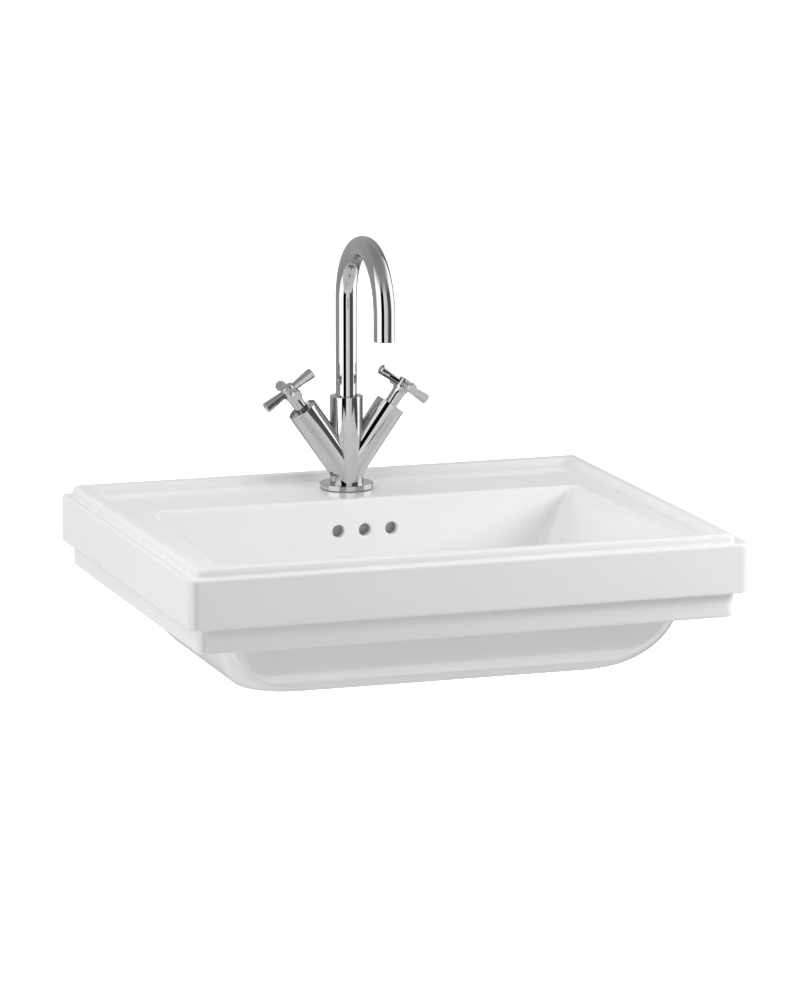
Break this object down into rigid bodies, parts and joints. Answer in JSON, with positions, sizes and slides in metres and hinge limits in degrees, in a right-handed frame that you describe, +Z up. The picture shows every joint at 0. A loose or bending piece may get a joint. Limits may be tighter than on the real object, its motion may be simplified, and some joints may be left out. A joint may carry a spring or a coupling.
{
  "type": "washbasin with mixer tap",
  "caption": "Rectangular glazed ceramic washbasin with a stepped apron, raised rim and overflow, and a two-handle swan-neck mixer tap with swivelling spout and click waste.",
  "frame": {"origin": "midway between the two wall-bolt holes, on the back face that meets the wall", "axes": "+X to the user's right, +Y into the wall, +Z up"},
  "size_m": [0.58, 0.47, 0.4447],
  "materials": {
    "glaze": "glossy white glaze",
    "chrome": "polished",
    "brass": "machined",
    "steel": "plain",
    "rubber": "moulded",
    "nylon": "moulded",
    "disc": "lapped"
  },
  "bodies": {
    "fixed": {"basin": "glaze", "tap_body": "chrome", "base_flange": "chrome", "base_gasket": "rubber", "spout_bush": "nylon", "spout_o_rings": "rubber", "spout_stop_screw": "steel", "mounting_stud": "steel", "clamp_gasket": "rubber", "clamp_plate": "steel", "stud_nut": "brass", "waste_body": "chrome", "waste_top_seal": "rubber", "waste_bottom_seal": "rubber", "waste_slip_washer": "nylon", "waste_backnut": "brass", "click_guide": "nylon", "plug_spring": "steel", "left_cartridge_body": "brass", "left_cartridge_seal": "rubber", "left_fixed_disc": "disc", "left_bonnet": "chrome", "right_cartridge_body": "brass", "right_cartridge_seal": "rubber", "right_fixed_disc": "disc", "right_bonnet": "chrome"},
    "spout": {"spout": "chrome", "aerator_housing": "nylon", "aerator_screen": "steel", "aerator_washer": "rubber"},
    "left_handle": {"left_moving_disc": "disc", "left_spindle": "brass", "left_spindle_o_ring": "rubber", "left_handle_neck": "chrome", "left_cross_handle": "chrome", "left_handle_screw": "steel", "left_index_cap": "chrome"},
    "right_handle": {"right_moving_disc": "disc", "right_spindle": "brass", "right_spindle_o_ring": "rubber", "right_handle_neck": "chrome", "right_cross_handle": "chrome", "right_handle_screw": "steel", "right_index_cap": "chrome"},
    "plug": {"plug_stem": "chrome", "plug_cap": "chrome", "plug_seal_ring": "rubber"}
  },
  "joints": [
    {"name": "spout_swivel", "type": "hinge", "parent": "fixed", "child": "spout", "pos_m": [0, -0.062, 0.18], "axis": [0, 0, 1], "range_deg": [-60, 60]},
    {"name": "hot_valve", "type": "hinge", "parent": "fixed", "child": "left_handle", "pos_m": [0, -0.062, 0.102], "axis": [-0.5736, 0, 0.8192], "range_deg": [0, 90]},
    {"name": "cold_valve", "type": "hinge", "parent": "fixed", "child": "right_handle", "pos_m": [0, -0.062, 0.102], "axis": [0.5736, 0, 0.8192], "range_deg": [-90, 0]},
    {"name": "plug_slide", "type": "slide", "parent": "fixed", "child": "plug", "axis": [0, 0, 1], "range_m": [-0.008, 0], "stiffness_N_per_m": 300, "springref_m": 0.012, "deforming": ["plug_spring"]}
  ]
}
